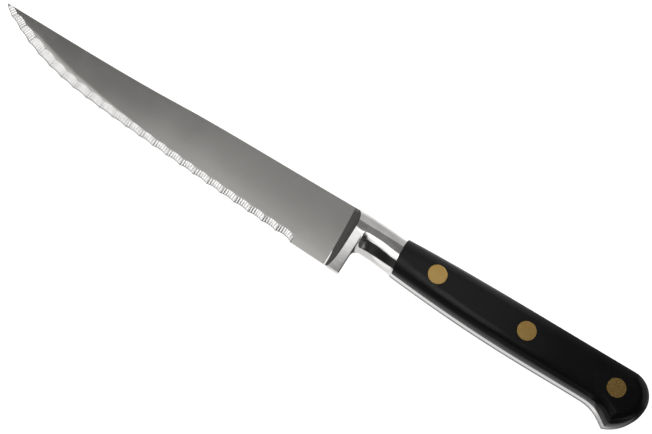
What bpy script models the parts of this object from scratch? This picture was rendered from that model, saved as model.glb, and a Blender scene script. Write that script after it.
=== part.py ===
"""Steak knife: forged blade with a serrated edge, bolster and full tang, with riveted scales.

The knife lies on its right side. +X runs from the tip to the butt, +Y from the edge to the spine
and +Z is up, out of the left side of the blade. Shapes are worked out in the knife's own frame,
where X is 0 at the back of the heel, Y is 0 on the line of the rivets and Z is 0 in the middle
plane of the blade. One empty then carries every piece, so that the knife rests on Z = 0 with the
origin under the middle of its bounding box.
"""

import math

import bmesh
import bpy
from mathutils import Vector
from mathutils.geometry import interpolate_bezier

MM = 0.001

# Lengths along the knife
BLADE_LENGTH = 130.2 * MM       # tip to the back of the heel
NECK_LENGTH = 12.2 * MM         # back of the heel to the front of the scales
HANDLE_LENGTH = 86.8 * MM       # front of the scales to the end of the butt

# Blade, seen from the side
TIP_HEIGHT = 1.5 * MM           # above the line of the rivets
HEEL_DEPTH = 14.8 * MM          # below the line of the rivets
SPINE_THICKNESS = 2.0 * MM      # at the bolster
TIP_THICKNESS = 1.1 * MM        # before the point is drawn thin
EDGE_THICKNESS = 0.32 * MM      # before the teeth are ground
POINT_LENGTH = 24.0 * MM        # over which spine and edge are drawn thin towards the tip
POINT_THINNING = 0.55           # share of their thickness that goes there
SPINE_CHAMFER = 0.15 * MM
GRIND_HEIGHT = 16.0 * MM        # a blade lower than this keeps a bevel along its belly
GRIND_CURVE = 1.6               # 1 is a flat wedge, more is a fuller, rounder grind
BELLY_SLOPE = 0.11              # thickness gained on each side for each length above the edge

# Serration, ground into the left side only
PLAIN_HEEL_LENGTH = 18.0 * MM   # edge left plain in front of the back of the heel
SCALLOP_PITCH = 5.03 * MM
FLUTES_PER_SCALLOP = 6
STEPS_PER_FLUTE = 3
FACET_SLOPE = 0.28              # rise of the ground facet away from the edge
EDGE_BITE = 0.55 * MM           # edge ground away at the points between two scallops
SCALLOP_DEPTH = 0.5 * MM
FLUTE_DEPTH = 0.16 * MM
RUN_OUT = 1.0 * MM              # length over which the wheel leaves the edge at the heel
TIP_FADE = 7.0 * MM             # length over which the bite fades out at the tip
WHEEL_REACH = 6.0 * MM          # how far the wheel passes over the side of the blade

# Bolster and neck
MITRE_LENGTH = 3.0 * MM         # polished band of the bolster, along the knife
MITRE_RIM = 0.3 * MM            # chamfer along the back of that band
ARRIS_TOP_CURL = 2.3 * MM       # how far its front edge swings forward at the spine
ARRIS_HEEL_CURL = 1.0 * MM      # and at the heel
ARRIS_POWER = 4                 # more keeps the front edge straight for longer
COVE_TOP = 6.5 * MM             # start of the hollow in front of the bolster, at the spine
COVE_HEEL = 5.5 * MM            # and at the heel
COVE_ANGLE = math.radians(20)   # at which the hollow leaves the side of the blade
HEEL_THICKNESS = 2.0 * MM
MITRE_BULGE = 0.35 * MM         # swell of the bolster's side between neck and heel
MITRE_TOP = 1.2 * MM            # where its side leaves the oval, below the line of the rivets
NECK_TOP = 5.85 * MM            # above the line of the rivets
NECK_BOTTOM = 5.85 * MM         # below it
NECK_THICKNESS = 10.4 * MM
NECK_FILLET = 1.8 * MM          # inside corner between the neck and the back of the heel
OVAL_POWER = 2.1                # 2 is an ellipse, more is squarer
SHOULDER_POWER = 2.3            # the section that meets the scales
NECK_PINCH = 0.3                # taken off the power of the neck's underside, behind the bolster

# Handle, seen from the side, as heights from the line of the rivets
FRONT_TOP = 5.5 * MM
FRONT_BOTTOM = 6.2 * MM
BACK_TOP = 8.45 * MM
BELLY_DEPTH = 7.8 * MM
WAIST_DEPTH = 7.2 * MM
BEAK_DEPTH = 11.0 * MM
BEAK_SETBACK = 8.1 * MM         # from the end of the butt
BUTT_RADIUS = 7.95 * MM
SHOULDER_RADIUS = 28.0 * MM     # arc on which the scales meet the neck
SHOULDER_HEIGHT = 1.8 * MM      # height of the arc's foremost point

# Handle, seen from the end
TANG_THICKNESS = 3.0 * MM
SCALE_THICKNESS = 4.0 * MM
EDGE_ROUNDING = 3.8 * MM
ROUNDING_STEPS = 7
FRONT_SPREAD = 0.35             # extra width of the rounding at the front of the scales
SPREAD_LENGTH = 30.0 * MM       # length over which that is lost

# Rivets
RIVET_PITCH = 31.3 * MM
FIRST_RIVET = 13.0 * MM         # from the front of the scales
HEAD_DIAMETER = 6.0 * MM
HEAD_THICKNESS = 1.6 * MM
TUBE_DIAMETER = 4.4 * MM
PIN_DIAMETER = 3.0 * MM
TUBE_GAP = 0.8 * MM             # between the end of the tube and the other head
PIN_GAP = 0.5 * MM              # between the end of the pin and the end of its bore

# Fits
BURIED = 0.5 * MM               # how deep one piece of the forging ends inside another
SEAM = 0.1 * MM                 # glue line between the scales and the steel
RIVET_CLEARANCE = 0.1 * MM      # around a head, a tube and a pin

# Fineness
SECTION_POINTS = 44             # around the neck
HOLE_SEGMENTS = 32
COVE_STEPS = 10                 # across the hollow
COVE_RINGS = 14                 # along it
CURVE_STEPS = 12                # in each piece of an outline
EDGE_STEPS = 16
SIDE_STEPS = 4                  # down each side of the blade
MITRE_STEPS = 10
FILLET_STEPS = 6
NECK_STEPS = 8
RUN_OUT_STEPS = 6
MERGE = 0.0005 * MM
SMOOTH_ANGLE = math.radians(30)

QUARTER_CIRCLE = 0.5523         # handle of the cubic curve that draws one, in radii
HUMP_PEAK = 4 / 27              # greatest value of s * (1 - s) ** 2, at a third
HAIR = SEAM / 5                 # keeps two surfaces of the forging from meeting flush

SCALE_SIDE = TANG_THICKNESS / 2 + SCALE_THICKNESS
SCALE_FACE = TANG_THICKNESS / 2 + SEAM
BUTT_END = NECK_LENGTH + HANDLE_LENGTH
BOLSTER_ROOT = -1.1 * COVE_TOP  # where the bolster starts, inside the blade
BEAK_PLACE = BUTT_END - BEAK_SETBACK
RIVET_PLACES = [NECK_LENGTH + FIRST_RIVET + step * RIVET_PITCH for step in range(3)]
RIVET_NAMES = ["front_rivet", "middle_rivet", "rear_rivet"]

STEEL = ("stainless steel", (0.52, 0.51, 0.50), 0.22, 1.0)
BLACK = ("black moulding", (0.012, 0.012, 0.013), 0.30, 0.0)
BRASS = ("brass", (0.55, 0.38, 0.15), 0.28, 1.0)


def start_scene():
    for old in list(bpy.data.objects):
        bpy.data.objects.remove(old)
    parts = bpy.data.collections.new("steak_knife")
    cutters = bpy.data.collections.new("cutters")
    bpy.context.scene.collection.children.link(parts)
    bpy.context.scene.collection.children.link(cutters)
    cutters.hide_render = True
    return parts, cutters


PARTS, CUTTERS = start_scene()


def principled(name, colour, roughness, metallic):
    material = bpy.data.materials.new(name)
    material.use_nodes = True
    shader = material.node_tree.nodes["Principled BSDF"]
    shader.inputs["Base Color"].default_value = (*colour, 1.0)
    shader.inputs["Roughness"].default_value = roughness
    shader.inputs["Metallic"].default_value = metallic
    material.diffuse_color = (*colour, 1.0)
    return material


def new_object(name, bm, collection, finish=None):
    """Closes a bmesh into an object, with its faces pointing out and its round sides smooth."""
    bmesh.ops.recalc_face_normals(bm, faces=bm.faces[:])
    mesh = bpy.data.meshes.new(name)
    bm.to_mesh(mesh)
    bm.free()
    mesh.shade_smooth()
    mesh.set_sharp_from_angle(angle=SMOOTH_ANGLE)
    obj = bpy.data.objects.new(name, mesh)
    collection.objects.link(obj)
    if finish:
        mesh.materials.append(principled(f"{name} {finish[0]}", *finish[1:]))
    if collection is CUTTERS:
        obj.hide_render = True
        obj.display_type = "WIRE"
    return obj


def combine(obj, other, operation):
    modifier = obj.modifiers.new(f"{operation.lower()} {other.name}", "BOOLEAN")
    modifier.operation = operation
    modifier.solver = "EXACT"
    modifier.object = other


def smooth_chain(chain, steps=CURVE_STEPS):
    """Points along joined cubic curves, given as knot, handle, handle, knot and so on."""
    points = []
    for start in range(0, len(chain) - 1, 3):
        piece = [Vector((x, y, 0.0)) for x, y in chain[start:start + 4]]
        drawn = interpolate_bezier(*piece, steps + 1)
        points += drawn[1:] if points else drawn
    return [(point.x, point.y) for point in points]


def height_at(outline, x):
    """Height of an outline that runs from low X to high X."""
    for (x0, y0), (x1, y1) in zip(outline, outline[1:]):
        if x <= x1:
            return y0 + (y1 - y0) * (x - x0) / (x1 - x0)
    return outline[-1][1]


def loft(name, rings, collection, finish=None):
    """A closed body through rings of equal count, with a flat face on each end."""
    bm = bmesh.new()
    rows = [[bm.verts.new(point) for point in ring] for ring in rings]
    for row, following in zip(rows, rows[1:]):
        for index in range(len(row)):
            last = index - 1
            bm.faces.new((row[last], row[index], following[index], following[last]))
    bm.faces.new(rows[0])
    bm.faces.new(rows[-1])
    bmesh.ops.remove_doubles(bm, verts=bm.verts[:], dist=MERGE)
    bmesh.ops.triangulate(bm, faces=[face for face in bm.faces if len(face.verts) == 4])
    return new_object(name, bm, collection, finish)


def slab(name, outline, low, high, collection, finish=None):
    """A flat outline, raised from one height to another."""
    bm = bmesh.new()
    base = bm.faces.new([bm.verts.new((x, y, low)) for x, y in outline])
    raised = bmesh.ops.extrude_face_region(bm, geom=[base])["geom"]
    top = [item for item in raised if isinstance(item, bmesh.types.BMVert)]
    bmesh.ops.translate(bm, verts=top, vec=(0.0, 0.0, high - low))
    return new_object(name, bm, collection, finish)


def rod(name, x, diameter, low, high, collection, finish=None):
    """A round bar along Z on the line of the rivets."""
    bm = bmesh.new()
    bmesh.ops.create_cone(bm, cap_ends=True, segments=HOLE_SEGMENTS, radius1=diameter / 2,
                          radius2=diameter / 2, depth=high - low)
    bmesh.ops.translate(bm, verts=bm.verts[:], vec=(x, 0.0, (low + high) / 2))
    return new_object(name, bm, collection, finish)


# The outlines of the blade, from the tip to the heel

def along_blade(share):
    """X at a share of the blade's length from its tip."""
    return (share - 1.0) * BLADE_LENGTH


def spine_outline():
    rise = NECK_TOP - TIP_HEIGHT

    def knot(share, climb):
        return (along_blade(share), TIP_HEIGHT + climb * rise)

    return smooth_chain([
        knot(0.0, 0.0), knot(0.19, 0.06), knot(0.35, 0.12), knot(0.49, 0.45),
        knot(0.60, 0.69), knot(0.815, 0.77), knot(1.0, 1.0)])


def edge_outline():
    fall = HEEL_DEPTH + TIP_HEIGHT

    def knot(share, drop):
        return (along_blade(share), TIP_HEIGHT - drop * fall)

    return smooth_chain([
        knot(0.0, 0.0), knot(0.002, 0.12), knot(0.036, 0.246), knot(0.056, 0.319),
        knot(0.066, 0.355), knot(0.133, 0.639), knot(0.253, 0.751),
        knot(0.349, 0.842), knot(0.763, 1.0), knot(1.0, 1.0)], EDGE_STEPS)


SPINE = spine_outline()
EDGE = edge_outline()


# The blade's thickness

def thinning(x):
    """Share of the thickness that is left at a place near the point."""
    away = min(1.0, (x + BLADE_LENGTH) / POINT_LENGTH)
    return 1.0 - POINT_THINNING * (1.0 - away) ** 2


def spine_half(x):
    share = (x + BLADE_LENGTH) / BLADE_LENGTH
    return thinning(x) * (TIP_THICKNESS + (SPINE_THICKNESS - TIP_THICKNESS) * share) / 2


def edge_half(x):
    return thinning(x) * EDGE_THICKNESS / 2


def ground_half(x, spine, edge, y):
    """Half the blade's thickness at one height, from its full grind and its belly bevel."""
    depth = (spine - y) / max(spine - edge, GRIND_HEIGHT)
    grind = edge_half(x) + (spine_half(x) - edge_half(x)) * (1.0 - depth ** GRIND_CURVE)
    bevel = edge_half(x) + BELLY_SLOPE * (y - edge)
    return min(grind, bevel)


def crease_height(x, spine, edge):
    """Height at which the belly bevel meets the full grind, found by halving."""
    low, high = edge, spine
    for _ in range(30):
        middle = (low + high) / 2
        bevel = edge_half(x) + BELLY_SLOPE * (middle - edge)
        if ground_half(x, spine, edge, middle) < bevel:
            high = middle
        else:
            low = middle
    facet = (2 * edge_half(x) + EDGE_BITE) / FACET_SLOPE
    width = spine - edge
    lowest = edge + min(facet, 0.6 * width)
    highest = edge + 0.88 * width
    return min(max(low, lowest), highest)


def blade_ring(x, inset):
    """One section of the blade: down its left side and up its right side."""
    spine = height_at(SPINE, x) - inset
    edge = height_at(EDGE, x) + inset
    crease = crease_height(x, spine, edge)
    chamfer = min(SPINE_CHAMFER, (spine - crease) / SIDE_STEPS)
    upper = spine - chamfer
    heights = [upper + (crease - upper) * step / SIDE_STEPS for step in range(SIDE_STEPS + 1)]
    heights += [(crease + edge) / 2, edge]
    side = [(spine, ground_half(x, spine, edge, spine) - chamfer)]
    side += [(y, ground_half(x, spine, edge, y)) for y in heights]
    left = [Vector((x, y, z)) for y, z in side]
    right = [Vector((x, y, -z)) for y, z in reversed(side)]
    return left + right


def make_blade():
    """The blade, run on into the bolster, where it is drawn in to stay inside."""
    places = [x for x, _ in EDGE[1:] if x < -COVE_TOP]
    rings = [blade_ring(x, 0.0) for x in places + [-COVE_TOP, -COVE_HEEL]]
    for point in rings[0]:
        point.x = -BLADE_LENGTH
    rings.append(blade_ring(-0.9 * COVE_HEEL, BURIED / 2))
    rings.append(blade_ring(-0.4 * MITRE_LENGTH, BURIED))
    return loft("blade_forging", rings, PARTS, STEEL)


# The bolster, from the hollow at the blade to the shoulder at the scales

def oval_ring(x, top, bottom, half, power, swell=0.0, pinch=0.0):
    """A rounded section, with its underside pushed out by the swell, but not past the mitre."""
    centre = (top + bottom) / 2
    rise = (top - bottom) / 2
    ring = []
    for index in range(SECTION_POINTS):
        angle = 2 * math.pi * index / SECTION_POINTS
        up, out = math.cos(angle), math.sin(angle)
        curve = 2 / (power - pinch) if up < 0 else 2 / power
        height = math.copysign(abs(up) ** curve, up)
        width = math.copysign(abs(out) ** curve, out)
        under = min(0.0, up) ** 2 * swell
        y = centre + height * (rise + under)
        z = width * (half + under)
        if swell and y < -MITRE_TOP:
            most = max(abs(width) * half, mitre_half(y) - HAIR)
            z = math.copysign(min(abs(z), most), z)
        ring.append(Vector((x, y, z)))
    return ring


def neck_rings():
    end = NECK_LENGTH + EDGE_ROUNDING
    starts = [(BOLSTER_ROOT, BURIED), (-COVE_TOP + SEAM, HAIR),
              (-MITRE_LENGTH, 0.0), (-0.2 * MITRE_LENGTH, 0.0)]
    rings = []
    for x, drawn_in in starts:
        top = height_at(SPINE, x) - drawn_in
        rings.append(oval_ring(x, top, -NECK_BOTTOM, NECK_THICKNESS / 2, OVAL_POWER))
    for step in range(FILLET_STEPS + 1):
        angle = math.pi / 2 * step / FILLET_STEPS
        x = NECK_FILLET * (1.0 - math.cos(angle))
        swell = NECK_FILLET * (1.0 - math.sin(angle))
        rings.append(neck_section(x, swell))
    for step in range(1, NECK_STEPS + 1):
        x = NECK_FILLET + (end - NECK_FILLET) * step / NECK_STEPS
        rings.append(neck_section(x, 0.0))
    return rings


def neck_section(x, swell):
    """The neck grows from the oval at the heel to the section of the scales."""
    share = min(1.0, x / NECK_LENGTH)
    top = NECK_TOP + (FRONT_TOP - NECK_TOP) * share
    bottom = -NECK_BOTTOM - (FRONT_BOTTOM - NECK_BOTTOM) * share ** 3
    if x > NECK_LENGTH:
        bottom = height_at(handle_outline()[::-1], x) + HAIR
    half = NECK_THICKNESS / 2 + (SCALE_SIDE - NECK_THICKNESS / 2) * share
    power = OVAL_POWER + (SHOULDER_POWER - OVAL_POWER) * share
    pinch = NECK_PINCH * share * (1.0 - share) ** 2 / HUMP_PEAK
    return oval_ring(x, top, bottom, half, power, swell, pinch)


def oval_half(y):
    """Half the thickness of the neck's oval at one height."""
    rise = (NECK_TOP + NECK_BOTTOM) / 2
    centre = (NECK_TOP - NECK_BOTTOM) / 2
    reach = min(1.0, abs((y - centre) / rise))
    return NECK_THICKNESS / 2 * (1.0 - reach ** OVAL_POWER) ** (1 / OVAL_POWER)


def mitre_half(y):
    """Half the bolster's thickness between the neck and the heel."""
    share = (-MITRE_TOP - y) / (HEEL_DEPTH - MITRE_TOP)
    start = oval_half(-MITRE_TOP)
    straight = start + (HEEL_THICKNESS / 2 - start) * share
    return straight + MITRE_BULGE * 4 * share * (1.0 - share)


def mitre_ring(x, drawn_in, lifted=0.0):
    """The wedge that runs from the neck down to the heel."""
    bottom = height_at(EDGE, x) + lifted
    drop = (bottom + MITRE_TOP) / MITRE_STEPS
    heights = [-MITRE_TOP + drop * step for step in range(MITRE_STEPS + 1)]
    left = [Vector((x, y, mitre_half(y) - drawn_in)) for y in heights]
    right = [Vector((x, y, drawn_in - mitre_half(y))) for y in reversed(heights)]
    return left + right


def bolster_half(y):
    """Half the thickness of the whole bolster, from the spine to the heel."""
    return oval_half(y) if y > -MITRE_TOP else mitre_half(y)


def arris_place(y):
    """X of the edge between the hollow and the bolster's band."""
    middle = (NECK_TOP - HEEL_DEPTH) / 2
    share = abs(y - middle) / (NECK_TOP - middle)
    curl = ARRIS_TOP_CURL if y > middle else ARRIS_HEEL_CURL
    return -MITRE_LENGTH - curl * share ** ARRIS_POWER


def cove_cutter(side):
    """Ground away above the hollow that runs from the blade up to the bolster."""
    sunk = 2 * HAIR
    outer = NECK_THICKNESS
    height = NECK_TOP + HEEL_DEPTH
    bend = math.cos(COVE_ANGLE)
    slip = math.sin(COVE_ANGLE)
    rings = []
    for step in range(-1, COVE_RINGS + 2):
        share = step / COVE_RINGS
        y = NECK_TOP - share * height
        foot = -(COVE_TOP + (COVE_HEEL - COVE_TOP) * share)
        low = cove_floor(share) - sunk
        rise = max(sunk, bolster_half(max(y, -HEEL_DEPTH)) + sunk - low)
        run = arris_place(y) - foot
        ring = [(foot - height / 8, outer), (foot - height / 8, low)]
        for turn in range(COVE_STEPS + 1):
            angle = COVE_ANGLE + (math.pi / 2 - COVE_ANGLE) * turn / COVE_STEPS
            ring.append((foot + run * (math.sin(angle) - slip) / (1.0 - slip),
                         low + rise * (bend - math.cos(angle)) / bend))
        ring.append((foot + run, outer))
        rings.append([Vector((x, y, side * z)) for x, z in ring])
    name = "left_cove" if side > 0 else "right_cove"
    return loft(name, rings, CUTTERS)


def cove_floor(share):
    """The blade's side where the hollow starts, as a straight line from spine to edge."""
    return (SPINE_THICKNESS + (EDGE_THICKNESS - SPINE_THICKNESS) * share) / 2


# The handle

def handle_outline():
    """From the front of the scales along the top, round the butt and back along the belly."""
    top_end = BUTT_END - BUTT_RADIUS
    middle = BACK_TOP - BUTT_RADIUS
    round_handle = BUTT_RADIUS * QUARTER_CIRCLE
    length = HANDLE_LENGTH
    front = NECK_LENGTH
    return smooth_chain([
        (front, FRONT_TOP),
        (front + 0.23 * length, FRONT_TOP + 0.57 * (BACK_TOP - FRONT_TOP)),
        (front + 0.55 * length, BACK_TOP - 0.34 * (BACK_TOP - FRONT_TOP)),
        (top_end, BACK_TOP),
        (top_end + round_handle, BACK_TOP),
        (BUTT_END, middle + round_handle),
        (BUTT_END, middle),
        (BUTT_END, middle - 0.48 * (BEAK_DEPTH + middle)),
        (BEAK_PLACE + 0.57 * BEAK_SETBACK, -BEAK_DEPTH + 0.15 * (BEAK_DEPTH + middle)),
        (BEAK_PLACE, -BEAK_DEPTH),
        (BEAK_PLACE - 0.030 * length, -WAIST_DEPTH - 0.55 * (BEAK_DEPTH - WAIST_DEPTH)),
        (BEAK_PLACE - 0.053 * length, -WAIST_DEPTH),
        (BEAK_PLACE - 0.105 * length, -WAIST_DEPTH),
        (BEAK_PLACE - 0.180 * length, -WAIST_DEPTH),
        (BEAK_PLACE - 0.330 * length, -BELLY_DEPTH),
        (BEAK_PLACE - 0.468 * length, -BELLY_DEPTH),
        (front + 0.297 * length, -BELLY_DEPTH),
        (front + 0.136 * length, -FRONT_BOTTOM - 0.62 * (BELLY_DEPTH - FRONT_BOTTOM)),
        (front, -FRONT_BOTTOM)])


def run_forward(outline, drawn_in):
    """The handle's outline, run on into the neck, and drawn in there as far as the shoulder."""
    root = NECK_LENGTH - EDGE_ROUNDING
    if not drawn_in:
        return [(root, FRONT_TOP)] + outline + [(root, -FRONT_BOTTOM)]
    top, bottom = FRONT_TOP - drawn_in, -FRONT_BOTTOM + drawn_in
    above, below = shoulder_place(FRONT_TOP), shoulder_place(-FRONT_BOTTOM)
    kept = [place for place in outline if place[0] > (above if place[1] > 0 else below) + SEAM]
    return ([(root, top), (above - SEAM, top), (above + SEAM, height_at(outline, above + SEAM))]
            + kept
            + [(below + SEAM, height_at(outline[::-1], below + SEAM)), (below - SEAM, bottom),
               (root, bottom)])


def shoulder_place(y):
    """X of the arc on which the scales meet the neck."""
    rise = min(abs(y - SHOULDER_HEIGHT), 0.9 * SHOULDER_RADIUS)
    return NECK_LENGTH + SHOULDER_RADIUS - math.sqrt(SHOULDER_RADIUS ** 2 - rise ** 2)


def shoulder_outline(shift):
    """All that lies behind the arc on which the scales meet the neck."""
    reach = HEEL_DEPTH
    far = BUTT_END + reach
    spread = math.asin(min(0.9, 2 * reach / (3 * SHOULDER_RADIUS)))
    arc = []
    for step in range(2 * CURVE_STEPS + 1):
        angle = spread * (1.0 - step / CURVE_STEPS)
        y = SHOULDER_HEIGHT + SHOULDER_RADIUS * math.sin(angle)
        arc.append((shoulder_place(y) + shift, y))
    return [(far, reach)] + [(arc[0][0], reach)] + arc + [(arc[-1][0], -reach), (far, -reach)]


def inset_outline(outline, distance):
    """The outline moved inwards, more so at the front, its sides meeting on a crease at the beak."""
    points = [Vector(point) for point in outline]
    beak = max(range(1, len(points) - 1), key=lambda index: turn_at(points, index))
    before = (points[beak] - points[beak - 1]).normalized()
    after = (points[beak + 1] - points[beak]).normalized()
    along = (before + after).normalized()
    crease = inward_of(along)
    slant = distance / crease.dot(inward_of(after))
    moved = []
    for index, point in enumerate(points):
        if index in (0, len(points) - 1):
            inward = Vector((0.0, -math.copysign(1.0, point.y)))
        else:
            inward = inward_of((points[index + 1] - points[index - 1]).normalized())
        forward = min(1.0, max(0.0, (NECK_LENGTH + SPREAD_LENGTH - point.x) / SPREAD_LENGTH))
        place = point + inward * distance * (1.0 + FRONT_SPREAD * forward ** 2)
        past = (place - points[beak]).dot(along)
        near = (point - points[beak]).length < 3 * EDGE_ROUNDING
        crossed = past >= 0 if index <= beak else past <= 0
        if index == beak or (near and crossed):
            place = points[beak] + crease * slant
        moved.append(place)
    return moved


def turn_at(points, index):
    return (points[index] - points[index - 1]).angle(points[index + 1] - points[index])


def inward_of(direction):
    """The side on which an outline drawn clockwise has its inside."""
    return Vector((direction.y, -direction.x))


def rounded_slab(name, side):
    """The outline of the handle from the tang out to a flat side with a rounded rim."""
    start = SCALE_SIDE - EDGE_ROUNDING
    levels = [(0.0, SCALE_FACE)]
    for step in range(ROUNDING_STEPS + 1):
        angle = math.pi / 2 * step / ROUNDING_STEPS
        levels.append((EDGE_ROUNDING * (1.0 - math.cos(angle)),
                       start + EDGE_ROUNDING * math.sin(angle)))
    rings = []
    for inset, height in levels:
        ring = inset_outline(run_forward(handle_outline(), 0.0), inset)
        rings.append([Vector((place.x, place.y, side * height)) for place in ring])
    return loft(name, rings, PARTS, BLACK)


def make_scale(name, side):
    """A scale: a rounded slab, cut on the shoulder's arc and bored for the rivets."""
    scale = rounded_slab(name, side)
    behind = slab(f"{name}_front", shoulder_outline(SEAM), -2 * SCALE_SIDE, 2 * SCALE_SIDE, CUTTERS)
    combine(scale, behind, "INTERSECT")
    outer = 2 * SCALE_SIDE
    seat = SCALE_SIDE - HEAD_THICKNESS - RIVET_CLEARANCE
    for rivet, x in zip(RIVET_NAMES, RIVET_PLACES):
        head = rod(f"{name}_{rivet}_seat", x, HEAD_DIAMETER + 2 * RIVET_CLEARANCE,
                   *sorted((side * seat, side * outer)), CUTTERS)
        bore = rod(f"{name}_{rivet}_bore", x, TUBE_DIAMETER + 2 * RIVET_CLEARANCE,
                   -outer, outer, CUTTERS)
        combine(scale, head, "DIFFERENCE")
        combine(scale, bore, "DIFFERENCE")
    return scale


def make_tube(name, x):
    """The hollow half of a rivet, with its head on the left side."""
    tube = rod(name, x, HEAD_DIAMETER, SCALE_SIDE - HEAD_THICKNESS, SCALE_SIDE, PARTS, BRASS)
    end = -SCALE_SIDE + HEAD_THICKNESS + TUBE_GAP
    shank = rod(f"{name}_shank", x, TUBE_DIAMETER, end, SCALE_SIDE - HEAD_THICKNESS / 2, CUTTERS)
    bore = rod(f"{name}_bore", x, PIN_DIAMETER + 2 * RIVET_CLEARANCE, end - HEAD_THICKNESS,
               SCALE_SIDE - HEAD_THICKNESS, CUTTERS)
    combine(tube, shank, "UNION")
    combine(tube, bore, "DIFFERENCE")
    return tube


def make_pin(name, x):
    """The solid half of a rivet, with its head on the right side."""
    pin = rod(name, x, HEAD_DIAMETER, -SCALE_SIDE, -SCALE_SIDE + HEAD_THICKNESS, PARTS, BRASS)
    end = SCALE_SIDE - HEAD_THICKNESS - PIN_GAP
    shank = rod(f"{name}_shank", x, PIN_DIAMETER, -SCALE_SIDE + HEAD_THICKNESS / 2, end, CUTTERS)
    combine(pin, shank, "UNION")
    return pin


# The serration

def edge_run():
    """The edge from the plain heel to the tip, as points and the distances between them."""
    start = -PLAIN_HEEL_LENGTH
    points = [Vector((start, height_at(EDGE, start)))]
    points += [Vector(point) for point in reversed(EDGE) if point[0] < start]
    run = [0.0]
    for behind, point in zip(points, points[1:]):
        run.append(run[-1] + (point - behind).length)
    return points, run


def place_on_edge(points, run, distance):
    """The point at a distance along the edge, also past its ends."""
    index = 1
    while index < len(run) - 1 and run[index] < distance:
        index += 1
    share = (distance - run[index - 1]) / (run[index] - run[index - 1])
    return points[index - 1].lerp(points[index], share)


def wheel_direction(points, run, distance):
    """Square to the edge's general course, since the wheel can't follow a short turn."""
    ahead = place_on_edge(points, run, min(distance + WHEEL_REACH, run[-1]))
    behind = place_on_edge(points, run, max(distance - WHEEL_REACH, 0.0))
    return inward_of((ahead - behind).normalized())


def wheel_bite(distance, length):
    """How far above the plain edge the wheel's profile meets the right side."""
    if distance < 0:
        lift = min(1.0, -distance / RUN_OUT)
        drop = EDGE_BITE + 1.15 * EDGE_THICKNESS / FACET_SLOPE
        return EDGE_BITE - drop * (1.0 - math.sqrt(1.0 - lift * lift))
    in_scallop = (distance / SCALLOP_PITCH) % 1.0
    in_flute = (distance / SCALLOP_PITCH * FLUTES_PER_SCALLOP) % 1.0
    scallop = SCALLOP_DEPTH * (1.0 - (2 * in_scallop - 1.0) ** 2)
    flute = FLUTE_DEPTH * (1.0 - (2 * in_flute - 1.0) ** 2)
    fade = min(1.0, max(0.0, length - distance) / TIP_FADE + 0.15)
    return (EDGE_BITE + scallop) * fade + flute


def serration_cutter():
    """A ribbed grinding wheel's path along the edge, tilted to leave a facet."""
    points, run = edge_run()
    length = run[-1]
    small = SCALLOP_PITCH / (FLUTES_PER_SCALLOP * STEPS_PER_FLUTE)
    distances = [-RUN_OUT * step / RUN_OUT_STEPS for step in range(RUN_OUT_STEPS + 1, 0, -1)]
    distances += [small * step for step in range(int(length / small))]
    distances.append(length + WHEEL_REACH / 2)
    rings = []
    for distance in distances:
        place = place_on_edge(points, run, distance)
        inward = wheel_direction(points, run, min(distance, length))
        bite = wheel_bite(distance, length)
        ring = []
        for reach in (-WHEEL_REACH / 2, WHEEL_REACH):
            at = place + inward * reach
            height = (reach - bite) * FACET_SLOPE - edge_half(max(place.x, -BLADE_LENGTH))
            ring.append(Vector((at.x, at.y, height)))
        for point in reversed(ring[:]):
            ring.append(Vector((point.x, point.y, WHEEL_REACH)))
        rings.append(ring)
    return loft("serration_wheel", rings, CUTTERS)


def make_forging():
    blade = make_blade()
    neck = loft("neck", neck_rings(), CUTTERS)
    band = [mitre_ring(BOLSTER_ROOT, 0.0, BURIED), mitre_ring(-COVE_HEEL + SEAM, 0.0),
            mitre_ring(-MITRE_RIM, 0.0), mitre_ring(0.0, MITRE_RIM)]
    mitre = loft("mitre", band, CUTTERS)
    combine(neck, mitre, "UNION")
    for side in (1, -1):
        combine(neck, cove_cutter(side), "DIFFERENCE")
        core = TANG_THICKNESS / 2 - HAIR
        low, high = sorted((side * core, side * 2 * SCALE_SIDE))
        name = "left_shoulder" if side > 0 else "right_shoulder"
        combine(neck, slab(name, shoulder_outline(0.0), low, high, CUTTERS), "DIFFERENCE")
    outline = run_forward(handle_outline(), BURIED)
    tang = slab("tang", outline, -TANG_THICKNESS / 2, TANG_THICKNESS / 2, CUTTERS)
    combine(blade, serration_cutter(), "DIFFERENCE")
    combine(blade, neck, "UNION")
    combine(blade, tang, "UNION")
    for rivet, x in zip(RIVET_NAMES, RIVET_PLACES):
        hole = rod(f"tang_{rivet}", x, TUBE_DIAMETER + 2 * RIVET_CLEARANCE,
                   -TANG_THICKNESS, TANG_THICKNESS, CUTTERS)
        combine(blade, hole, "DIFFERENCE")
    return blade


def stand_on_origin(pieces):
    """Carries pieces and cutters so that the origin is under the middle of the knife."""
    carrier = bpy.data.objects.new("knife_frame", None)
    PARTS.objects.link(carrier)
    middle = (BUTT_END - BLADE_LENGTH) / 2
    height = (BACK_TOP - HEEL_DEPTH) / 2
    carrier.location = (-middle, -height, SCALE_SIDE)
    for piece in pieces:
        piece.parent = carrier


pieces = [make_forging(), make_scale("left_scale", 1), make_scale("right_scale", -1)]
for rivet, x in zip(RIVET_NAMES, RIVET_PLACES):
    pieces += [make_tube(f"{rivet}_tube", x), make_pin(f"{rivet}_pin", x)]
stand_on_origin(pieces + list(CUTTERS.objects))
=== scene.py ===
# %% [markdown]
# # A steak knife on a light table
#
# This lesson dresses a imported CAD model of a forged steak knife: it gives every piece the finish
# of the real one, lights it as a product photographer would, and sets up the camera. The knife
# lies on its right side. +X runs from the tip to the butt, +Y from the cutting edge to the spine,
# and +Z is up. Every length is in metres.

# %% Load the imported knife
import math

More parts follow.
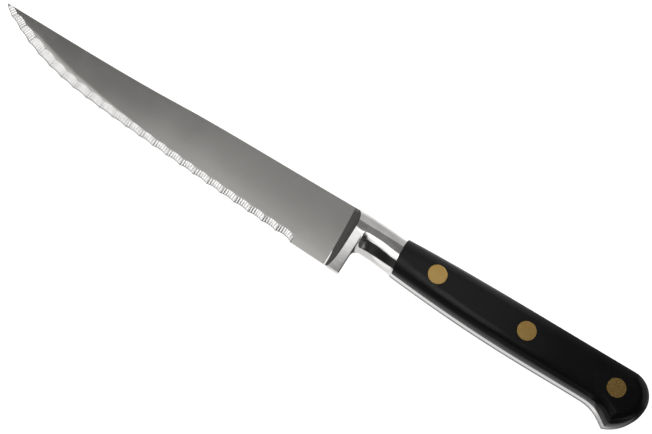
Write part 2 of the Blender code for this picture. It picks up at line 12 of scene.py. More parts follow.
import bmesh
import bpy
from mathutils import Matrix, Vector


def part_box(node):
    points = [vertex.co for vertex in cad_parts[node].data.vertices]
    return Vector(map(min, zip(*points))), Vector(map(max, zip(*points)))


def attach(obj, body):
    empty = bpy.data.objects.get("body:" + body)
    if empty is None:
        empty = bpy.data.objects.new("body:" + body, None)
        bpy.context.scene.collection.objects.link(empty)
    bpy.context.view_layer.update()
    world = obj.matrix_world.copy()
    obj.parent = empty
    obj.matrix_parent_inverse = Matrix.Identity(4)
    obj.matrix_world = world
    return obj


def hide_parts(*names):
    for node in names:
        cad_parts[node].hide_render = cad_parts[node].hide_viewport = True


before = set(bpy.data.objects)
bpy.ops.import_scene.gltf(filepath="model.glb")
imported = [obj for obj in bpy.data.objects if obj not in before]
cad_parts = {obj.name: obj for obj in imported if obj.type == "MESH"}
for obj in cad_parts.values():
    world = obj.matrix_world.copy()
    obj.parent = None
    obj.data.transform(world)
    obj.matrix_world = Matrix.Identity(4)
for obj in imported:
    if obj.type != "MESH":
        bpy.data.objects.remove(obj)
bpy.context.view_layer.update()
MM = 0.001
print("nodes:", sorted(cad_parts))

# %% [markdown]
# ## Where things are on the knife
#
# The knife is drawn around one point: the back of the heel, on the line of the three rivets, in
# the middle plane of the blade. Naming that point once lets each later cell speak in the maker's
# terms, such as "6 mm in front of the heel". It is measured from the nodes.

# %% Measure the landmarks
NECK_LENGTH = 12.2 * MM                   # back of the heel to the line of glue behind the neck
GLUE_LINE = 0.1 * MM                      # between the neck and the front of the scales
scale_low, scale_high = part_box("left_scale")
rivet_low, rivet_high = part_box("middle_rivet_tube")
heel = Vector((scale_low.x - GLUE_LINE - NECK_LENGTH, (rivet_low.y + rivet_high.y) / 2,
               scale_high.z / 2))
print("heel, in mm:", [round(value / MM, 2) for value in heel])

# %% [markdown]
# ## Camera
#
# The photograph was taken from above, slightly from the side of the cutting edge, with the knife
# running from the upper left to the lower right. A long lens keeps the handle from looking bigger
# than the blade. The place and the angles were found by matching the rivets, the tip and the heel
# with their places in the photograph.

# %% Set up the camera
SENSOR_WIDTH = 36.0                       # mm
FOCAL_LENGTH, FRAME_WIDTH = 1600, 652     # both in pixels of the photograph
CAMERA_PLACE = (0.0283, -0.1508, 0.4642)
CAMERA_TURN = (17.137, -7.306, 31.773)    # degrees about X, Y and Z
NEAREST_SEEN = 10 * MM


def place_object(name, data):
    """A new object in the scene for a mesh, a lamp or a camera."""
    thing = bpy.data.objects.new(name, data)
    bpy.context.scene.collection.objects.link(thing)
    return thing


camera_data = bpy.data.cameras.new("camera")
camera_data.sensor_width = SENSOR_WIDTH
camera_data.lens = FOCAL_LENGTH / FRAME_WIDTH * SENSOR_WIDTH
camera_data.clip_start = NEAREST_SEEN
camera = place_object("camera", camera_data)
camera.location = CAMERA_PLACE
camera.rotation_euler = [math.radians(angle) for angle in CAMERA_TURN]
bpy.context.scene.camera = camera
print("camera height in mm:", round(camera.location.z / MM))

# %% [markdown]
# ## Light table and surroundings
#
# Polished steel looks like whatever is around it, so a studio for knives is built from panels: a
# white one overhead, grey and black ones beside it, and a pale floor that glows a little, which
# keeps shadows away. The panels are far away and long, so they can be painted on the world's
# background as bands of one angle, the tilt from straight up about the length of the knife. That
# is simpler than hanging a lamp for each panel, and the bands can be moved one by one until the
# reflections on the bolster sit where they should.
#
# Such a background is made of many small sums, one node each. A few helpers keep them short: each
# adds a node, gives it its inputs and hands back its result.

# %% Helpers for nodes
def give(tree, node, inputs):
    """Gives a node its inputs: the result of another node is linked, a plain value is set."""
    for name, value in inputs.items():
        if isinstance(value, bpy.types.NodeSocket):
            tree.links.new(value, node.inputs[name])
        else:
            node.inputs[name].default_value = value


def add_node(tree, kind, inputs=None, **settings):
    """A node of one kind with its settings, such as an operation, and its inputs."""
    node = tree.nodes.new(kind)
    for name, value in settings.items():
        setattr(node, name, value)
    give(tree, node, inputs or {})
    return node


def number_math(tree, operation, *inputs):
    """One sum with numbers."""
    return add_node(tree, "ShaderNodeMath", dict(enumerate(inputs)),
                    operation=operation).outputs[0]


def vector_math(tree, operation, *inputs):
    """One sum with three values at once, such as a place or a colour."""
    return add_node(tree, "ShaderNodeVectorMath", dict(enumerate(inputs)),
                    operation=operation).outputs[0]


def scaled(tree, place, factor):
    """A place times one number."""
    return add_node(tree, "ShaderNodeVectorMath", {"Vector": place, "Scale": factor},
                    operation="SCALE").outputs[0]


def along_axes(tree, place):
    """The X, the Y and the Z of a place or a direction."""
    return tuple(add_node(tree, "ShaderNodeSeparateXYZ", {"Vector": place}).outputs)


# %% Helpers for ranges and colours
def grey(level):
    """A colour of one brightness."""
    return (level, level, level, 1.0)


def spread(tree, value, low, high, start=0.0, end=1.0, **settings):
    """Turns a value that runs from start to end into one that runs from low to high."""
    return add_node(tree, "ShaderNodeMapRange",
                    {"Value": value, "From Min": start, "From Max": end,
                     "To Min": low, "To Max": high}, **settings).outputs["Result"]


def eased(tree, value, start, end, low=0.0, high=1.0):
    """The same with a gentle start and a gentle end."""
    return spread(tree, value, low, high, start, end, interpolation_type="SMOOTHSTEP")


def ramp(tree, value, stops, low=-1.0, high=1.0):
    """Brightness at given values between low and high, with straight lines between them."""
    node = add_node(tree, "ShaderNodeValToRGB",
                    {"Fac": spread(tree, value, 0.0, 1.0, low, high)})
    elements = node.color_ramp.elements
    elements.remove(elements[1])
    elements[0].position = (stops[0][0] - low) / (high - low)
    elements[0].color = grey(stops[0][1])
    for place, level in stops[1:]:
        elements.new((place - low) / (high - low)).color = grey(level)
    return node.outputs["Color"]


def mixed(tree, mask, first, second):
    """Goes over from one colour to another. The colours of a Mix node are found by number."""
    return add_node(tree, "ShaderNodeMix", {0: mask, 6: first, 7: second},
                    data_type="RGBA").outputs[2]


# %% [markdown]
# The bands alone would light the whole knife evenly. In the photograph the blade fades towards its
# tip and the black handle towards its butt, because the panels end there. Two more ramps, along
# the knife this time, stand for that: one multiplies the bands, and the other one, a ceiling, is
# the most that any of them gives. The ceiling leans, since the underside of the handle looks
# further back than its top, and that underside still sees the near half of the bright table. A
# dark wall beyond the tip gives the bolster its dark hollow, and a weak grey in two opposite
# corners keeps the steel from going black when it is seen from behind. Each ramp is read by the
# direction of a ray, whose X, Y and Z run from -1 to 1.

# %% Choose the panels
PANELS = [(-180, 1.07), (-97, 0.035), (-29, 1.05), (-16, 2.2), (7.5, 0.25), (46, 0.63),
          (103, 1.0)]                     # the tilt in degrees where one starts, its brightness
SHARP, SOFT = 1.5, 4.0                    # degrees over which one panel goes over into the next
SOFT_ABOVE = 1.5                          # a panel brighter than this has soft borders
SLANT = 12.0                              # degrees by which the panels turn towards the tip
FULL_TURN = 200.0                         # degrees, more than any tilt with its slant
FADING = [(-0.50, 0.9), (-0.33, 0.45), (-0.25, 0.42), (-0.2, 0.54), (-0.17, 0.8), (-0.14, 1.38),
          (-0.115, 1.56), (-0.09, 1.45), (-0.06, 1.14), (-0.035, 1.0), (-0.005, 1.3), (0.01, 2.5),
          (0.03, 4.0), (0.045, 14.0), (0.09, 12.0), (0.14, 3.0)]   # by X
CEILING = [(-0.03, 2.65), (-0.02, 1.65), (0.0, 1.65), (0.012, 1.6), (0.024, 1.25), (0.034, 0.8),
           (0.044, 0.36), (0.055, 0.25), (0.064, 0.2), (0.089, 0.105), (0.127, 0.064),
           (0.152, 0.04), (0.35, 0.03)]   # by X, once it leans
LEAN, LEAN_END = 0.1, 0.3                 # how much it leans, and the Y from where on it doesn't
TABLE = [(-0.25, 1.05), (-0.02, 0.1)]     # by Y: its near half is bright, its far half is dark
TABLE_SEEN = [(-0.10, 1.0), (-0.02, 0.6), (0.5, 0.35),
              (0.75, 0.0)]                # by Z: less of it for a ray that looks up
WALL, WALL_LEVEL = [(-0.67, 1.0), (-0.60, 0.0)], 0.115     # by X
CORNERS = [(0.2, 0.0), (0.3, 0.3)]        # by X times Y
print("panels:", len(PANELS))

# %% Paint the panels
world = bpy.data.worlds.new("studio")
world.use_nodes = True
bpy.context.scene.world = world
tree = world.node_tree
direction = add_node(tree, "ShaderNodeTexCoord").outputs["Generated"]
x, y, z = along_axes(tree, direction)
tilt = number_math(tree, "DEGREES", number_math(tree, "ARCTAN2", y, z))
slanted = number_math(tree, "MULTIPLY_ADD", x, SLANT, tilt)
stops = [PANELS[0]]
for (_, before), (angle, after) in zip(PANELS, PANELS[1:]):
    blur = SOFT if max(before, after) > SOFT_ABOVE else SHARP
    stops += [(angle - blur / 2, before), (angle + blur / 2, after)]
bands = ramp(tree, slanted, stops, -FULL_TURN, FULL_TURN)
faded = vector_math(tree, "MULTIPLY", bands, ramp(tree, x, FADING))
print("stops on the bands:", len(stops))

# %% Cap the panels with the ceiling
leaning = number_math(tree, "MULTIPLY_ADD", number_math(tree, "MINIMUM", y, LEAN_END), -LEAN, x)
leant = number_math(tree, "ADD", leaning, LEAN_END * LEAN)
table = vector_math(tree, "MULTIPLY", ramp(tree, z, TABLE_SEEN), ramp(tree, y, TABLE))
highest = vector_math(tree, "MAXIMUM", ramp(tree, leant, CEILING), table)
capped = vector_math(tree, "MINIMUM", faded, highest)
print("stops on the ceiling:", len(CEILING))

# %% [markdown]
# A camera ray sees plain white instead of all this, so a view from the side has a clean
# background. The Light Path node tells such a ray from the ones that the knife mirrors.

# %% Add the wall, the corners and the white background
walled = mixed(tree, ramp(tree, x, WALL), capped, grey(WALL_LEVEL))
corners = ramp(tree, number_math(tree, "MULTIPLY", x, y), CORNERS)
around = vector_math(tree, "MAXIMUM", walled, corners)
from_camera = add_node(tree, "ShaderNodeLightPath").outputs["Is Camera Ray"]
give(tree, tree.nodes["Background"], {"Color": mixed(tree, from_camera, around, grey(1.0))})
bpy.context.scene.view_settings.view_transform = "Standard"
print("nodes around the knife:", len(tree.nodes))

# %% [markdown]
# Satin steel also scatters some light in every direction, whatever it mirrors. One broad lamp
# overhead gives it that. Glossy rays don't see the lamp, so it adds no highlight of its own.

# %% Hang the soft lamp
LAMP_STRENGTH = 1.4                       # watts on a square metre
LAMP_BREADTH = math.radians(60)           # how wide it looks from the knife
lamp_data = bpy.data.lights.new("soft_lamp", "SUN")
lamp_data.energy = LAMP_STRENGTH
lamp_data.angle = LAMP_BREADTH
lamp = place_object("soft_lamp", lamp_data)
lamp.visible_glossy = False
print("lamp:", LAMP_STRENGTH)

# %% [markdown]
# The light table is a large sheet that glows almost white, with a weak shading left for contact.
# It is hidden from glossy rays too: the knife mirrors the painted surroundings instead. A glow in
# the sheet's own material is simpler than a lamp under a milky pane, and as even.

# %% Lay the light table
TABLE_REACH = 1.5                         # from its middle to each side
TABLE_BASE, TABLE_GLOW = 0.3, 0.96
SHEET_ROUGHNESS = 0.9


def glowing_sheet(name, bm, base, glow):
    """A matt sheet of the studio with a grey base and a white glow."""
    mesh = bpy.data.meshes.new(name)
    bm.to_mesh(mesh)
    bm.free()
    finish = bpy.data.materials.new(name.replace("_", " "))
    finish.use_nodes = True
    give(finish.node_tree, finish.node_tree.nodes["Principled BSDF"],
         {"Base Color": grey(base), "Roughness": SHEET_ROUGHNESS, "Specular IOR Level": 0.0,
          "Emission Color": grey(1.0), "Emission Strength": glow})
    mesh.materials.append(finish)
    return place_object(name, mesh)


bm = bmesh.new()
bmesh.ops.create_grid(bm, x_segments=2, y_segments=2, size=TABLE_REACH)
floor = glowing_sheet("light_table", bm, TABLE_BASE, TABLE_GLOW)
floor.visible_glossy = False
print("light table:", tuple(round(v, 2) for v in floor.dimensions))

# %% [markdown]
# The painted panels look the same from every place on the knife, so the beak of the handle would
# catch the bright strip that lights the flutes. A small dark card hangs over the handle and keeps
# that strip off it. Only glossy rays see the card.

# %% Hang the dark card
CARD = [(0.04, -0.10), (0.135, -0.10), (0.118, 0.012), (0.082, 0.012)]   # its corners, X and Y
CARD_HEIGHT, CARD_BASE, CARD_GLOW = 0.16, 0.0, 0.08
bm = bmesh.new()
bm.faces.new([bm.verts.new((*corner, CARD_HEIGHT)) for corner in CARD])
card = glowing_sheet("dark_card", bm, CARD_BASE, CARD_GLOW)
for ray in ("camera", "diffuse", "transmission", "shadow"):
    setattr(card, f"visible_{ray}", False)
print("dark card:", tuple(round(v, 3) for v in card.dimensions))

# %% [markdown]
# ## Shared effects
#
# Every finish on this knife is made of a few effects: fine lines left by a belt, sparse
# scratches, and soft smudges from hands. Each is a node group with named inputs, built once and
# placed in each material with its own values.

# %% Helper for node groups
def start_group(name, numbers, output):
    """A group that takes a place and some numbers, given with their usual values."""
    group = bpy.data.node_groups.new(name, "ShaderNodeTree")
    group.interface.new_socket("Vector", in_out="INPUT", socket_type="NodeSocketVector")
    for label, value in numbers.items():
        socket = group.interface.new_socket(label, in_out="INPUT", socket_type="NodeSocketFloat")
        socket.default_value = value
    group.interface.new_socket(output, in_out="OUTPUT", socket_type="NodeSocketFloat")
    given, result = add_node(group, "NodeGroupInput"), add_node(group, "NodeGroupOutput")
    return group, given.outputs, result


# %% Lines of a belt
MM_IN_METRE = 1 / MM


def belt_lines():
    """Fine parallel lines along X: noise squeezed across them and stretched along them."""
    group, given, result = start_group(
        "belt lines", {"Lines per mm": 6.0, "Stretch": 0.02}, "Height")
    squeeze = add_node(group, "ShaderNodeCombineXYZ",
                       {"X": given["Stretch"], "Y": 1.0, "Z": given["Stretch"]})
    lines = number_math(group, "MULTIPLY", given["Lines per mm"], MM_IN_METRE)
    placed = vector_math(group, "MULTIPLY", given["Vector"],
                         scaled(group, squeeze.outputs["Vector"], lines))
    noise = add_node(group, "ShaderNodeTexNoise", {"Vector": placed, "Scale": 1.0, "Detail": 2.0})
    give(group, result, {"Height": noise.outputs["Fac"]})
    return group


BELT_LINES = belt_lines()
print("group:", BELT_LINES.name)

# %% Smudges of hands
UNTOUCHED, HANDLED = 0.38, 0.68           # levels of the noise where a smudge starts and is full


def smudges():
    """Soft clouds, from 0 on a clean place to 1 on a handled one."""
    group, given, result = start_group("smudges", {"Size in mm": 8.0}, "Mask")
    clouds = number_math(group, "DIVIDE", MM_IN_METRE, given["Size in mm"])
    placed = scaled(group, given["Vector"], clouds)
    noise = add_node(group, "ShaderNodeTexNoise", {"Vector": placed, "Scale": 1.0, "Detail": 4.0})
    give(group, result, {"Mask": eased(group, noise.outputs["Fac"], UNTOUCHED, HANDLED)})
    return group


SMUDGES = smudges()
print("group:", SMUDGES.name)

# %% Hair scratches
SCRATCH_LAYERS = (0.5, -1.1)              # radians by which each layer of cells is turned
CELL_WIDTH = 0.12                         # as a share of a cell's length, which is along X
SCRATCH_WIDTH = 0.025                     # as a share of the spacing


def scratches():
    """Few and thin lines, most of them near X: the borders of long cells, in two layers."""
    group, given, result = start_group("scratches", {"Spacing in mm": 3.0}, "Mask")
    cells = number_math(group, "DIVIDE", MM_IN_METRE, given["Spacing in mm"])
    marks = []
    for turn in SCRATCH_LAYERS:
        course = add_node(group, "ShaderNodeMapping",
                          {"Vector": given["Vector"], "Rotation": (0.0, 0.0, turn),
                           "Scale": (CELL_WIDTH, 1.0, 1.0)})
        placed = scaled(group, course.outputs["Vector"], cells)
        border = add_node(group, "ShaderNodeTexVoronoi", {"Vector": placed, "Scale": 1.0},
                          feature="DISTANCE_TO_EDGE").outputs["Distance"]
        marks.append(spread(group, border, 1.0, 0.0, end=SCRATCH_WIDTH))
    give(group, result, {"Mask": number_math(group, "MAXIMUM", *marks)})
    return group


SCRATCHES = scratches()
print("groups:", [group.name for group in bpy.data.node_groups])

# %% [markdown]
# ## Finishes
#
# A finish starts from one shader with its main colour, roughness and metal value. The helpers
# below place an effect, mix two colours by its mask, read a value that is kept on the mesh, or
# turn a height into relief.

# %% Helpers for finishes
def start_finish(name, colour, roughness, metallic):
    """A material with plain values, its node tree, its shader and the place on the piece."""
    finish = bpy.data.materials.new(name)
    finish.use_nodes = True
    finish.diffuse_color = (*colour, 1.0)
    tree = finish.node_tree
    shader = tree.nodes["Principled BSDF"]
    give(tree, shader, {"Base Color": (*colour, 1.0), "Roughness": roughness,
                        "Metallic": metallic})
    return finish, tree, shader, add_node(tree, "ShaderNodeTexCoord").outputs["Object"]


def effect(tree, group, place, **numbers):
    """The result of a shared effect. Its inputs are named with _ for each space."""
    inputs = {label.replace("_", " "): value for label, value in numbers.items()}
    return add_node(tree, "ShaderNodeGroup", {"Vector": place, **inputs},
                    node_tree=group).outputs[0]


def tint(tree, mask, first, second):
    """Mixes two plain colours by a mask."""
    return mixed(tree, mask, (*first, 1.0), (*second, 1.0))


def kept_value(tree, name):
    """A value that is kept on the corners of the mesh."""
    return add_node(tree, "ShaderNodeAttribute", attribute_name=name).outputs["Fac"]


def turned(tree, place, degrees):
    """The place on the piece, turned about Z."""
    return add_node(tree, "ShaderNodeMapping",
                    {"Vector": place, "Rotation": (0.0, 0.0, math.radians(degrees))}).outputs[0]


def relief(tree, height, depth):
    """Which way the surface faces when a height of 1 stands out by the depth."""
    return add_node(tree, "ShaderNodeBump",
                    {"Height": height, "Distance": depth, "Strength": 1.0}).outputs["Normal"]


# %% [markdown]
# ### Steel
#
# The forging is one piece of steel with four finishes. The flats of the blade are satin from a
# fine belt that ran across them. The wheel that cut the flutes left bright facets; a dark rim at
# the very edge is painted shade, and a fine dark line on each ridge, which near the tip fades
# higher up, is a painted dark reflection. A smooth hollow fades out above the facets, widest near
# the tip.
# Bolster and neck are buffed to a mirror with a few hair scratches. The edge of the tang was
# ground together with the scales, so its lines run across it, and its lower side is painted with
# shade.
#
# The hollow is only a few hundredths of a millimetre deep, too little for the mesh, so it is made
# as relief: a curve that is steepest next to the facet and level where it ends.

# %% Measures of the hollow above the flutes
BLADE_END = -130.0                        # mm from the heel, beyond the first value below
FACET_TOP = [(-128, 1.0), (-120, -1.7), (-112, -4.2), (-106, -6.0), (-100, -7.3), (-96, -7.8),
             (-88, -8.7), (-80, -9.3), (-72, -9.9), (-64, -10.4), (-52, -10.9), (-36, -11.5),
             (-18, -12.0)]                # mm from the heel, where the wheel's facet ends
FACET_LOWEST, FACET_HIGHEST = -15.0, 5.0  # mm, beyond all of those heights
RUN_OUT = [(-122, 0.05), (-116, 1.5), (-104, 1.9), (-94, 1.5), (-84, 0.8), (-72, 0.3),
           (-60, 0.1), (-20, 0.1), (-17, 0.001)]     # mm from the heel, how wide the hollow is
RUN_SLOPE = math.radians(4.5)             # its steepest part, next to the facet
RUN_LENGTH = 1.25                         # widths from its level end to below the facet's top
print("run-out, widest in mm:", max(width for _, width in RUN_OUT))


# %% Hollow above the flutes
def run_out(tree, place):
    """Height in mm of the soft hollow that the wheel leaves above the flutes."""
    from_heel = scaled(tree, vector_math(tree, "SUBTRACT", place, heel), MM_IN_METRE)
    x, y, _ = along_axes(tree, from_heel)
    tall = FACET_HIGHEST - FACET_LOWEST
    shares = [(along, (top - FACET_LOWEST) / tall) for along, top in FACET_TOP]
    facet_top = spread(tree, ramp(tree, x, shares, BLADE_END, 0.0), FACET_LOWEST, FACET_HIGHEST)
    above = number_math(tree, "SUBTRACT", y, facet_top)
    width = ramp(tree, x, RUN_OUT, BLADE_END, 0.0)
    share = spread(tree, above, 1.0, 0.0, end=width, clamp=False)
    near = add_node(tree, "ShaderNodeClamp", {"Value": share, "Max": RUN_LENGTH}).outputs[0]
    deepest = number_math(tree, "MULTIPLY", width, -math.tan(RUN_SLOPE) / 2)
    return number_math(tree, "MULTIPLY", number_math(tree, "POWER", near, 2.0), deepest)


# %% Satin blade
SATIN_LINE = 0.0001                       # mm, how deep the belt's lines are


def satin_blade():
    """Fine lines across the blade, clouds in its gloss, and the hollow above the flutes."""
    finish, tree, shader, place = start_finish("satin blade", (0.53, 0.52, 0.50), 0.3, 0.85)
    lines = effect(tree, BELT_LINES, turned(tree, place, 90), Lines_per_mm=7.0, Stretch=0.03)
    cloud = effect(tree, SMUDGES, place, Size_in_mm=14.0)
    height = number_math(tree, "ADD", spread(tree, lines, 0.0, SATIN_LINE), run_out(tree, place))
    give(tree, shader, {
        "Base Color": tint(tree, lines, (0.46, 0.45, 0.433), (0.48, 0.47, 0.453)),
        "Roughness": spread(tree, cloud, 0.16, 0.19),
        "Normal": relief(tree, height, MM)})
    return finish


SATIN_BLADE = satin_blade()
print("finish:", SATIN_BLADE.name)

# %% Ground serration
FACET_HEIGHT = "facet height"             # 0 on the cutting edge, 1 where the wheel's facet ends
RIDGE = "ridge"                           # 1 on the ridges between the flutes
SHADED_RIM_START, SHADED_RIM_END = 0.05, 0.14           # facet heights between which the painted shade on the rim ends
RIDGE_CORE, RIDGE_SIDE = 0.95, 0.45       # ridge values between which the painted dark line on a ridge ends
RIDGE_SHADE_LOW, RIDGE_SHADE_HIGH = 0.3, 0.6            # facet heights between which that painted line fades
RIDGE_SHADE_FOOT = 0.3                           # brightness of the painted line next to the cutting edge
RIDGE_SHADE_TOP = [(-120, 0.75), (-110, 0.8), (-98, 0.6), (-84, 0.35),
            (-72, 0.3)]                   # and higher up, by mm from the heel
WHEEL_LINE = 0.0006 * MM                  # how deep the wheel's own lines are


def ground_serration():
    """Bright facets with fine lines, a painted shade on the rim at the edge and a painted dark
    reflection as a line on each ridge.
    """
    finish, tree, shader, place = start_finish("ground serration", (0.80, 0.79, 0.78), 0.3, 0.85)
    lines = effect(tree, BELT_LINES, turned(tree, place, 90), Lines_per_mm=8.0, Stretch=0.05)
    height = kept_value(tree, FACET_HEIGHT)
    above_rim_shade = eased(tree, height, SHADED_RIM_START, SHADED_RIM_END)
    clear = eased(tree, kept_value(tree, RIDGE), RIDGE_CORE, RIDGE_SIDE)
    levels = [(heel.x + along * MM, level) for along, level in RIDGE_SHADE_TOP]
    top = ramp(tree, along_axes(tree, place)[0], levels, levels[0][0], heel.x)
    ridge_shade_level = eased(tree, height, RIDGE_SHADE_LOW, RIDGE_SHADE_HIGH, RIDGE_SHADE_FOOT, top)
    # Painted shade and reflection: the rim at the cutting edge and a line on each ridge stay dark.
    unshaded = number_math(tree, "MULTIPLY", above_rim_shade, spread(tree, clear, ridge_shade_level, 1.0))
    give(tree, shader, {
        "Base Color": tint(tree, unshaded, (0.24, 0.24, 0.23), (0.86, 0.85, 0.84)),
        "Roughness": spread(tree, lines, 0.18, 0.26),
        "Normal": relief(tree, lines, WHEEL_LINE)})
    return finish


GROUND_SERRATION = ground_serration()
print("finish:", GROUND_SERRATION.name)


# %% Polished bolster and neck
def polished_steel():
    """A mirror with a few smudges and hair scratches."""
    finish, tree, shader, place = start_finish("polished steel", (0.60, 0.59, 0.58), 0.06, 1.0)
    cloud = effect(tree, SMUDGES, place, Size_in_mm=5.0)
    marks = effect(tree, SCRATCHES, place, Spacing_in_mm=2.5)
    give(tree, shader, {
        "Base Color": tint(tree, cloud, (0.56, 0.55, 0.54), (0.62, 0.61, 0.60)),
        "Roughness": number_math(tree, "MAXIMUM", spread(tree, cloud, 0.04, 0.10),
                                 spread(tree, marks, 0.0, 0.16))})
    return finish


POLISHED_STEEL = polished_steel()
print("finish:", POLISHED_STEEL.name)

# %% Ground edge of the tang
SHADED_BELOW, UNSHADED_ABOVE = heel.z - 0.9 * MM, heel.z - 0.5 * MM   # painted shade next to the lower scale
TANG_LINE = 0.004 * MM                    # how deep its lines are


def ground_tang():
    """Coarser lines across the rim of the tang, with painted shade on its lower side."""
    finish, tree, shader, place = start_finish("ground tang edge", (0.60, 0.59, 0.58), 0.28, 1.0)
    lines = effect(tree, BELT_LINES, turned(tree, place, 60), Lines_per_mm=4.0, Stretch=0.05)
    # Painted shade: the rim of the tang darkens towards its lower side, next to the lower scale.
    above_painted_shade = eased(tree, along_axes(tree, place)[2], SHADED_BELOW, UNSHADED_ABOVE)
    lines_and_painted_shade = number_math(tree, "MULTIPLY", above_painted_shade, spread(tree, lines, 0.7, 1.0))
    give(tree, shader, {
        "Base Color": tint(tree, lines_and_painted_shade, (0.36, 0.35, 0.35), (0.70, 0.69, 0.68)),
        "Roughness": spread(tree, lines, 0.2, 0.36),
        "Normal": relief(tree, lines, TANG_LINE)})
    return finish


STEEL_FINISHES = [SATIN_BLADE, GROUND_SERRATION, POLISHED_STEEL, ground_tang()]
SATIN, SERRATION, POLISHED, TANG = range(4)
print("steel finishes:", [finish.name for finish in STEEL_FINISHES])

# %% [markdown]
# ### Black moulding and brass
#
# The scales are a black moulding that was polished after assembly. Fingers have dulled it at the
# front, next to the bolster, while the rear still shines, with thin scratches here and there. One
# gloss for the whole handle would look like a new one, so the roughness runs along it. The rivet
# heads were ground flush with it, so their lines run one way over all of them.

# %% Black moulding
WORN_FROM, WORN_TO = scale_low.x + 4 * MM, scale_low.x + 48 * MM
WORN, FRESH = 0.38, 0.16                  # roughness before the first place, past the second


def black_moulding():
    """Black all over. The wear, the smudges and the scratches show in its gloss."""
    finish, tree, shader, place = start_finish("black moulding", (0.002, 0.002, 0.002), 0.25, 0.0)
    cloud = effect(tree, SMUDGES, place, Size_in_mm=9.0)
    marks = effect(tree, SCRATCHES, place, Spacing_in_mm=9.0)
    worn = spread(tree, along_axes(tree, place)[0], WORN, FRESH, WORN_FROM, WORN_TO)
    handled = number_math(tree, "ADD", worn, spread(tree, cloud, 0.0, 0.04))
    give(tree, shader, {
        "Roughness": number_math(tree, "MAXIMUM", handled, spread(tree, marks, 0.0, 0.24))})
    return finish


BLACK = black_moulding()
print("finish:", BLACK.name)

# %% Polished brass
BRASS_LINE = 0.0002 * MM                  # how deep its lines are


def polished_brass():
    """Yellow brass, slightly uneven, with lines that run one way over all the heads."""
    finish, tree, shader, place = start_finish("polished brass", (0.80, 0.56, 0.24), 0.25, 1.0)
    lines = effect(tree, BELT_LINES, turned(tree, place, 35), Lines_per_mm=3.0, Stretch=0.04)
    cloud = effect(tree, SMUDGES, place, Size_in_mm=3.0)
    give(tree, shader, {
        "Base Color": tint(tree, cloud, (0.93, 0.58, 0.18), (0.97, 0.64, 0.22)),
        "Roughness": spread(tree, lines, 0.20, 0.24),
        "Normal": relief(tree, lines, BRASS_LINE)})
    return finish


BRASS = polished_brass()
print("finish:", BRASS.name)

# %% [markdown]
# ## Smooth copies of the CAD pieces
#
# A imported node is a bag of loose triangles, which shade flat. A copy with its doubles merged can
# be shaded smoothly, with sharp edges only where the real piece has them. The copy stands for the
# node, which is hidden, and rides on the root body.

# %% Copy a node
MERGE = 0.0005 * MM                       # corners closer than this are one


def merged_copy(node):
    """A bmesh of a CAD node with its triangles joined at their corners."""
    bm = bmesh.new()
    bm.from_mesh(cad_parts[node].data)
    bmesh.ops.remove_doubles(bm, verts=bm.verts[:], dist=MERGE)
    bmesh.ops.dissolve_degenerate(bm, edges=bm.edges[:], dist=MERGE)
    return bm


def sharpen(bm, limit):
    """Smooth faces, with sharp edges where two of them meet at more than the limit."""
    for face in bm.faces:
        face.smooth = True
    for edge in bm.edges:
        if len(edge.link_faces) == 2:
            one, other = edge.link_faces
            apart = one.material_index != other.material_index
            edge.smooth = not (apart or edge.calc_face_angle(0.0) > limit)


# %% Finish a piece
def finish_piece(bm, name, node, finishes):
    """Closes the bmesh into a piece that stands for a CAD node."""
    mesh = bpy.data.meshes.new(name)
    bm.to_mesh(mesh)
    bm.free()
    for finish in finishes:
        mesh.materials.append(finish)
    piece = place_object(name, mesh)
    even = piece.modifiers.new("even shading", "WEIGHTED_NORMAL")
    even.keep_sharp = True
    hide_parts(node)
    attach(piece, "root")
    print(name, "faces:", len(mesh.polygons))


# %% [markdown]
# ## The forging
#
# Each face of the forging gets one of the four steel finishes by where it lies and which way it
# faces, as the grinder worked: everything in front of the hollow of the bolster is satin, facets
# tilted towards the edge were ground by the wheel, and behind the neck only the rim of the tang
# shows. Two values on the corners place the painted shade on the serration: how high a corner lies
# on its facet, and whether it is on a ridge between two flutes.

# %% Sort the faces of the forging
FOOT_TOP, FOOT_HEEL = -6.5 * MM, -5.5 * MM    # where the hollow starts, at the spine and the heel
NECK_TOP, HEEL_DEPTH = 5.85 * MM, 14.8 * MM   # above and below the line of the rivets
FOOT_REACH = 2 * MM                           # faces that don't tilt along X stay satin for longer
TILTED_ALONG = 0.2                            # X of a normal, less on such a face
PLAIN_HEEL = 16.5 * MM                        # the last stretch of the edge has no serration
FACET_TILT = 0.5, 0.978                       # Z of a normal, between these on a ground facet
UPRIGHT = 0.5                                 # Z of a normal, less on the rim of the tang


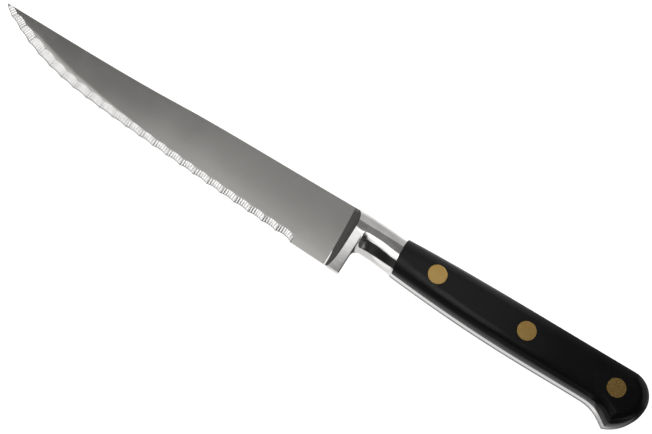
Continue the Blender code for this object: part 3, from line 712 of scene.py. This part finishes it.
def forging_zone(face):
    """Which steel finish a face of the forging has."""
    place = face.calc_center_median() - heel
    normal = face.normal
    down = (NECK_TOP - place.y) / (NECK_TOP + HEEL_DEPTH)
    foot = FOOT_TOP + (FOOT_HEEL - FOOT_TOP) * down
    if place.x < foot or (place.x < foot + FOOT_REACH and abs(normal.x) < TILTED_ALONG):
        facet = FACET_TILT[0] < normal.z < FACET_TILT[1] and normal.y < 0.0
        return SERRATION if facet and place.x < -PLAIN_HEEL else SATIN
    if place.x > NECK_LENGTH and abs(normal.z) < UPRIGHT:
        return TANG
    return POLISHED


bm = merged_copy("blade_forging")
for face in bm.faces:
    face.material_index = forging_zone(face)
print("ground faces:", sum(face.material_index == SERRATION for face in bm.faces))

# %% Dress the forging
STEEL_CREASE = math.radians(25)
RIDGE_ANGLE = math.radians(8)             # facets that bend outwards by more make a ridge
facet_height = bm.verts.layers.float.new(FACET_HEIGHT)
for vertex in bm.verts:
    vertex[facet_height] = 0.0 if any(face.normal.z < 0.0 for face in vertex.link_faces) else 1.0
ridge = bm.verts.layers.float.new(RIDGE)
sharpen(bm, STEEL_CREASE)
for edge in bm.edges:
    if {face.material_index for face in edge.link_faces} == {SERRATION}:
        edge.smooth = True
        if edge.calc_face_angle_signed() > RIDGE_ANGLE:
            for vertex in edge.verts:
                vertex[ridge] = 1.0
finish_piece(bm, "forged_blade", "blade_forging", STEEL_FINISHES)

# %% [markdown]
# ## Scales
#
# The two scales are moulded alike, one for each side. Their long edges are rounded for the hand.
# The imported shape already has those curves, so nothing is modelled again: everything that bends
# by up to 30 degrees is shaded smoothly.

# %% Dress the scales
CREASE = math.radians(30)
for side in ("left", "right"):
    bm = merged_copy(f"{side}_scale")
    sharpen(bm, CREASE)
    finish_piece(bm, f"{side}_handle_scale", f"{side}_scale", [BLACK])

# %% [markdown]
# ## Rivets
#
# Each rivet has two halves, a hollow one from the left and a solid one from the right. Both heads
# are turned discs, flat and sharp at the rim, which the same limit keeps sharp.

# %% Dress the rivets
for place in ("front", "middle", "rear"):
    for half in ("tube", "pin"):
        node = f"{place}_rivet_{half}"
        bm = merged_copy(node)
        sharpen(bm, CREASE)
        finish_piece(bm, f"{place}_brass_{half}", node, [BRASS])

# %% [markdown]
# ## End
#
# The dressed knife has to fill the same box as the imported one.

# %% Finish
print("done")
